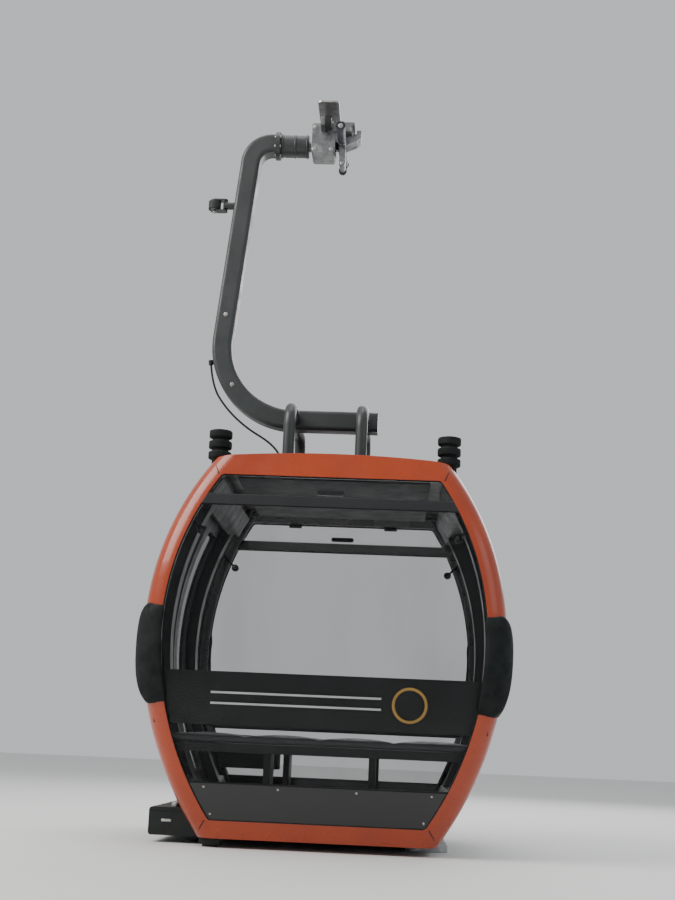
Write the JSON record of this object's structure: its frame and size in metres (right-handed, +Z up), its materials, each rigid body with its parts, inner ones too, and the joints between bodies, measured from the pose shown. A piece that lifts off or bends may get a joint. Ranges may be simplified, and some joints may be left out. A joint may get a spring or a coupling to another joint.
{
  "type": "detachable cable car cabin with hanger arm and rope grip",
  "caption": "Barrel-shaped glazed cable car cabin with orange end hoops, swinging double doors, curved hanger arm and a detachable rope grip.",
  "frame": {"origin": "centre of the rope's axis in the middle of the grip's jaws", "axes": "+Y along the rope in the direction of travel, +X to the side away from the doors, +Z up"},
  "size_m": [2.16, 2.08, 4.812],
  "materials": {
    "hoop_paint": "gloss",
    "tinted_glass": "gloss",
    "black_panel": "satin",
    "black_frame": "satin",
    "roof_paint": "satin",
    "floor_rubber": "matte",
    "frame_metal": "brushed",
    "box_plastic": "matte",
    "seat_plastic": "matte",
    "bumper_rubber": "matte",
    "ball_plastic": "gloss",
    "cable_rubber": "matte",
    "hanger_paint": "satin",
    "grip_steel": "satin",
    "door_steel": "brushed",
    "roller_rubber": "matte"
  },
  "bodies": {
    "grip": {"grip_body": "grip_steel", "torsion_tubes": "grip_steel", "drive_plate": "grip_steel"},
    "jaw": {"moving_jaw": "grip_steel"},
    "roller_front": {"running_roller_front": "roller_rubber"},
    "roller_rear": {"running_roller_rear": "roller_rubber"},
    "cabin": {"end_frame_front": "hoop_paint", "end_frame_rear": "hoop_paint", "end_panels": "black_panel", "end_glass_front": "tinted_glass", "end_glass_rear": "tinted_glass", "vent_rails": "black_panel", "vent_glass": "tinted_glass", "vent_pulls": "black_panel", "roof_shell": "roof_paint", "side_frame": "black_frame", "side_glass": "tinted_glass", "door_portal": "black_frame", "door_header": "black_frame", "door_side_glass": "tinted_glass", "door_gear_box": "box_plastic", "floor_plate": "floor_rubber", "underframe": "frame_metal", "bench_front": "seat_plastic", "bench_rear": "seat_plastic", "backrests": "seat_plastic", "equipment_box": "box_plastic", "corner_pads": "bumper_rubber", "guide_shoe": "frame_metal", "roof_buffers": "bumper_rubber", "grab_balls": "ball_plastic", "hanger_arm": "hanger_paint", "hanger_head": "hanger_paint", "cradle_hoops": "hanger_paint", "cradle_feet": "bumper_rubber", "guide_arm": "hanger_paint", "hanger_cable": "cable_rubber", "cable_glands": "ball_plastic"},
    "guide_wheel": {"guide_roller": "roller_rubber"},
    "crank_front": {"door_crank_front": "door_steel"},
    "crank_rear": {"door_crank_rear": "door_steel"},
    "link_front": {"door_link_front": "door_steel"},
    "link_rear": {"door_link_rear": "door_steel"},
    "leaf_front": {"door_leaf_front": "black_frame", "door_leaf_glass_front": "tinted_glass", "door_bracket_front": "door_steel"},
    "leaf_rear": {"door_leaf_rear": "black_frame", "door_leaf_glass_rear": "tinted_glass", "door_bracket_rear": "door_steel"}
  },
  "joints": [
    {"name": "jaw_open", "type": "hinge", "parent": "grip", "child": "jaw", "pos_m": [-0.075, 0, -0.078], "axis": [0, 1, 0], "range_deg": [0, 12], "stiffness_Nm_per_rad": 400, "springref_deg": -8.59},
    {"name": "roller_front_spin", "type": "hinge", "parent": "grip", "child": "roller_front", "pos_m": [-0.166, -0.172, 0.008], "axis": [1, 0, 0], "continuous": true},
    {"name": "roller_rear_spin", "type": "hinge", "parent": "grip", "child": "roller_rear", "pos_m": [-0.166, 0.172, 0.008], "axis": [1, 0, 0], "continuous": true},
    {"name": "hanger_swing", "type": "hinge", "parent": "grip", "child": "cabin", "pos_m": [-0.4, 0, -0.09], "axis": [1, 0, 0], "range_deg": [-20, 20]},
    {"name": "guide_wheel_spin", "type": "hinge", "parent": "cabin", "child": "guide_wheel", "pos_m": [-0.925, 0, -0.53], "axis": [0, 0, 1], "continuous": true},
    {"name": "door_open", "type": "hinge", "parent": "cabin", "child": "crank_front", "pos_m": [-0.85, -0.525, -4.49], "axis": [0, 0, 1], "range_deg": [0, 141.5]},
    {"name": "crank_rear_turn", "type": "hinge", "parent": "cabin", "child": "crank_rear", "pos_m": [-0.85, 0.525, -4.49], "axis": [0, 0, -1], "range_deg": [0, 141.5]},
    {"name": "link_front_turn", "type": "hinge", "parent": "cabin", "child": "link_front", "pos_m": [-0.79, -0.525, -2.65], "axis": [0, 0, 1], "range_deg": [0, 141.5]},
    {"name": "link_rear_turn", "type": "hinge", "parent": "cabin", "child": "link_rear", "pos_m": [-0.79, 0.525, -2.65], "axis": [0, 0, -1], "range_deg": [0, 141.5]},
    {"name": "leaf_front_turn", "type": "hinge", "parent": "crank_front", "child": "leaf_front", "pos_m": [-0.85, -0.3, -4.48], "axis": [0, 0, -1], "range_deg": [0, 141.5]},
    {"name": "leaf_rear_turn", "type": "hinge", "parent": "crank_rear", "child": "leaf_rear", "pos_m": [-0.85, 0.3, -4.48], "axis": [0, 0, 1], "range_deg": [0, 141.5]}
  ],
  "couplings": [
    {"joint": "crank_rear_turn", "follows": "door_open", "ratio": 1},
    {"joint": "link_front_turn", "follows": "door_open", "ratio": 1},
    {"joint": "link_rear_turn", "follows": "door_open", "ratio": 1},
    {"joint": "leaf_front_turn", "follows": "door_open", "ratio": 1},
    {"joint": "leaf_rear_turn", "follows": "door_open", "ratio": 1}
  ]
}
